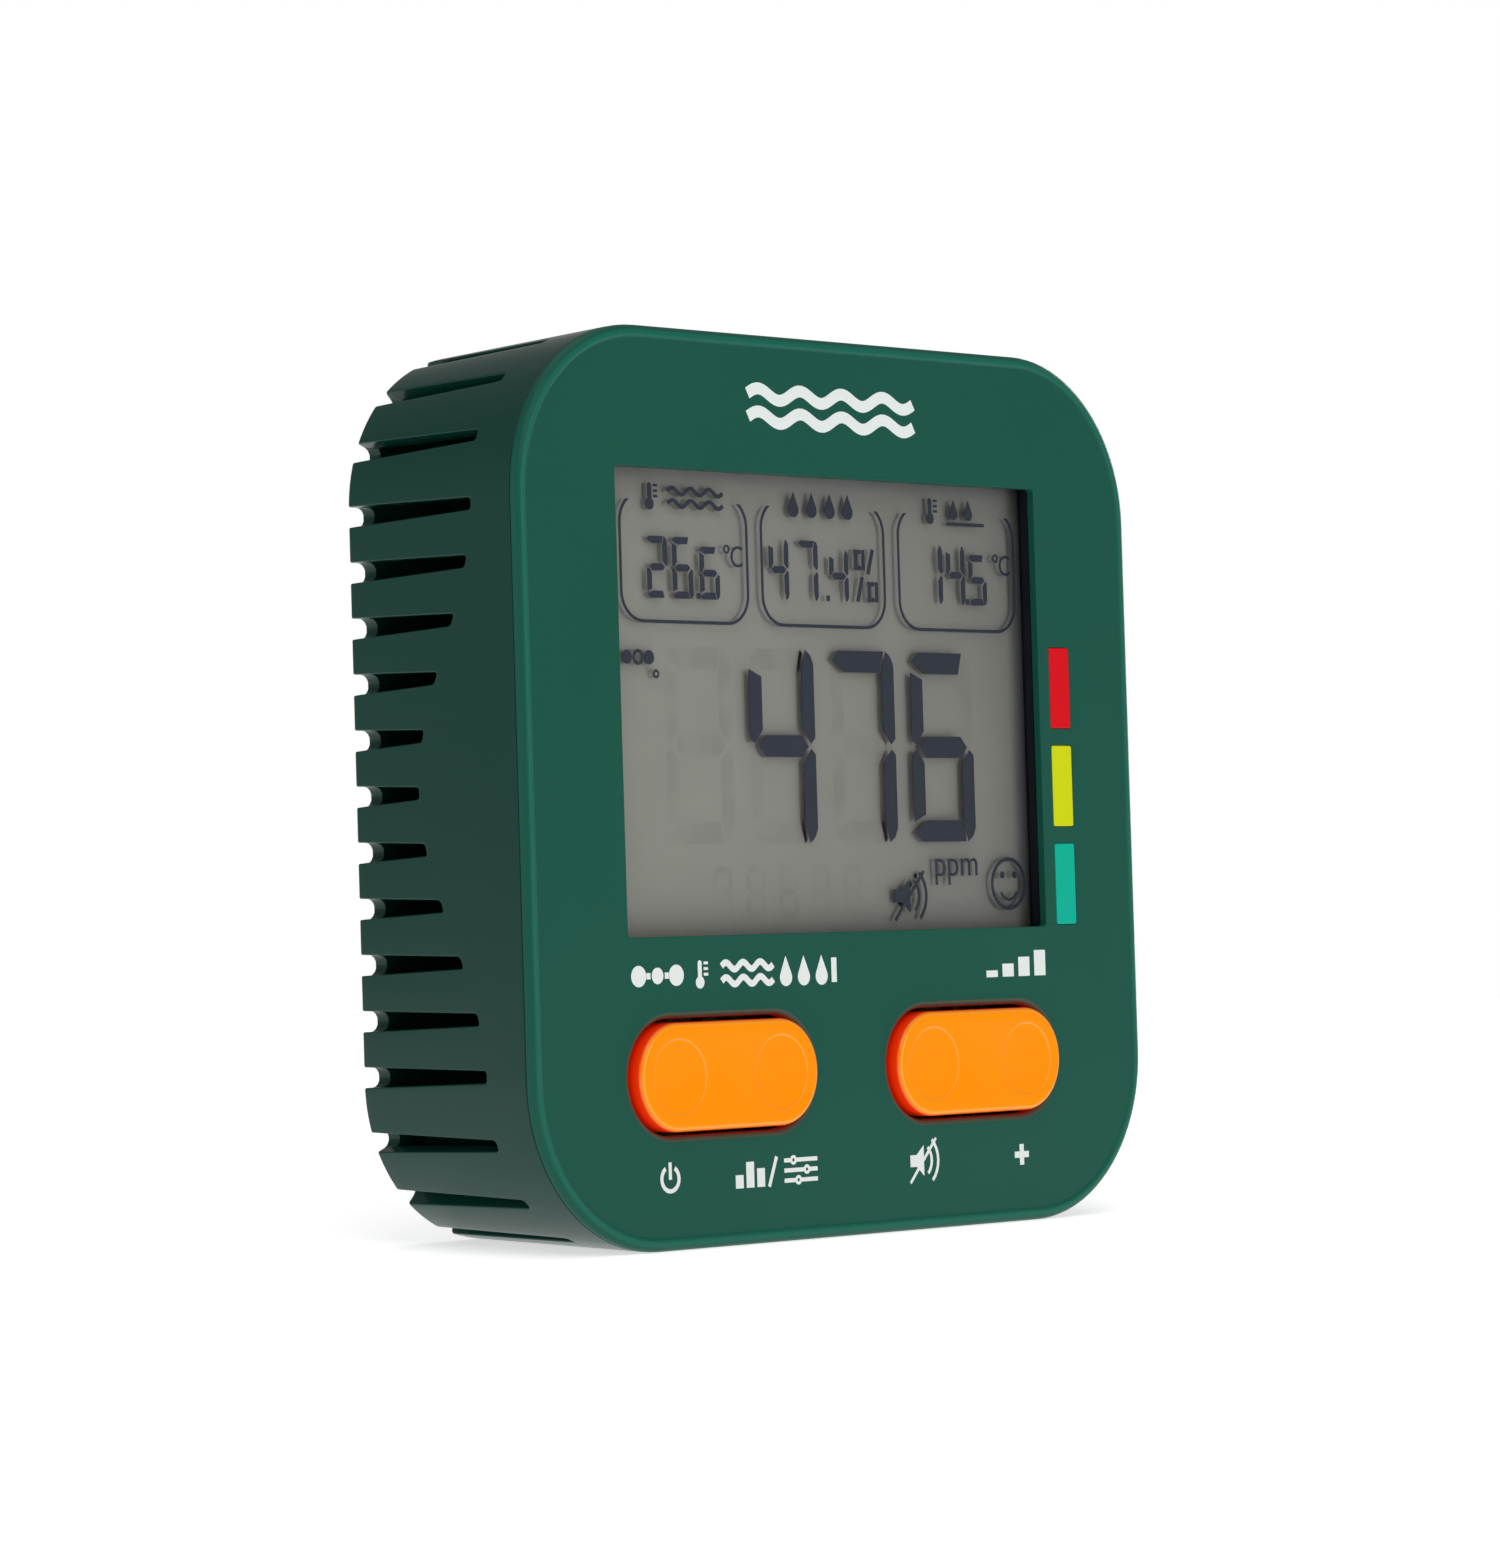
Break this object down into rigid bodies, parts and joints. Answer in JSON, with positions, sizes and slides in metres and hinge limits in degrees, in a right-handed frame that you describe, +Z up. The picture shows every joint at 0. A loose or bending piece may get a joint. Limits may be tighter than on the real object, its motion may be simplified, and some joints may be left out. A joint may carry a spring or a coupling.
{
  "type": "carbon dioxide monitor",
  "caption": "Desk-top air quality monitor: square rounded case with vented sides, grey segment display, status bars, rocker keys and a sliding battery door.",
  "frame": {"origin": "centre of the footprint, on the surface the monitor stands on", "axes": "+X to the viewer's right, -Y towards the viewer (the display side), +Z up; the face leans back by 2.45 degrees"},
  "size_m": [0.1174, 0.038, 0.1169],
  "materials": {
    "face_plastic": "satin dark green moulding with a fine even texture",
    "case_plastic": "glossier dark green moulding",
    "black_plastic": "near-black moulding",
    "display_glass": "warm grey reflective liquid crystal panel",
    "diffuser_plastic": "white diffusing sheet",
    "strip_rubber": "layered conductive elastomer",
    "board_laminate": "green solder mask on glass-fibre laminate",
    "component_plastic": "black moulded component bodies",
    "red_lens": "translucent red",
    "yellow_lens": "translucent yellow",
    "green_lens": "translucent blue-green",
    "led_plastic": "pale lens",
    "key_plastic": "satin orange moulding",
    "sensor_metal": "gold plated sensor housing",
    "filter_fabric": "white porous membrane",
    "red_insulation": "red wire insulation",
    "black_insulation": "black wire insulation",
    "cell_wrap": "plain printed cell sleeve",
    "steel": "plated steel"
  },
  "bodies": {
    "case": {"front_case": "face_plastic", "rear_case": "case_plastic", "display_holder": "black_plastic", "display_panel": "display_glass", "backlight_panel": "diffuser_plastic", "contact_strip_top": "strip_rubber", "contact_strip_bottom": "strip_rubber", "main_board": "board_laminate", "controller_chip": "component_plastic", "light_pipe_red": "red_lens", "led_red": "led_plastic", "light_pipe_yellow": "yellow_lens", "led_yellow": "led_plastic", "light_pipe_green": "green_lens", "led_green": "led_plastic", "key_pin_left": "steel", "key_switch_left_a": "component_plastic", "key_switch_left_b": "component_plastic", "key_pin_right": "steel", "key_switch_right_a": "component_plastic", "key_switch_right_b": "component_plastic", "carbon_dioxide_sensor": "sensor_metal", "sensor_filter": "filter_fabric", "sensor_header": "component_plastic", "humidity_sensor": "component_plastic", "sounder": "component_plastic", "power_inlet": "steel", "power_inlet_board": "board_laminate", "power_inlet_lead_red": "red_insulation", "power_inlet_lead_black": "black_insulation", "battery_cell_1": "cell_wrap", "battery_spring_1": "steel", "battery_cell_2": "cell_wrap", "battery_spring_2": "steel", "battery_cell_3": "cell_wrap", "battery_spring_3": "steel", "battery_cell_4": "cell_wrap", "battery_spring_4": "steel", "battery_link_bottom_left": "steel", "battery_link_bottom_right": "steel", "battery_link_top": "steel", "battery_terminal_minus": "steel", "battery_terminal_plus": "steel", "battery_lead_black": "black_insulation", "battery_lead_red": "red_insulation", "case_screw_1": "steel", "case_screw_2": "steel", "case_screw_3": "steel", "case_screw_4": "steel", "board_screw_1": "steel", "board_screw_2": "steel", "board_screw_3": "steel", "board_screw_4": "steel"},
    "left_key": {"key_left": "key_plastic"},
    "right_key": {"key_right": "key_plastic"},
    "door": {"battery_door": "case_plastic"}
  },
  "joints": [
    {"name": "left_key_rock", "type": "hinge", "parent": "case", "child": "left_key", "pos_m": [-0.0248, -0.0128, 0.0217], "axis": [0, 0.0427, 0.9991], "range_deg": [-2.5, 2.5], "stiffness_Nm_per_rad": 0.2},
    {"name": "right_key_rock", "type": "hinge", "parent": "case", "child": "right_key", "pos_m": [0.0236, -0.0128, 0.0217], "axis": [0, 0.0427, 0.9991], "range_deg": [-2.5, 2.5], "stiffness_Nm_per_rad": 0.2},
    {"name": "battery_door_slide", "type": "slide", "parent": "case", "child": "door", "axis": [0, -0.0427, -0.9991], "range_m": [0, 0.064]}
  ]
}
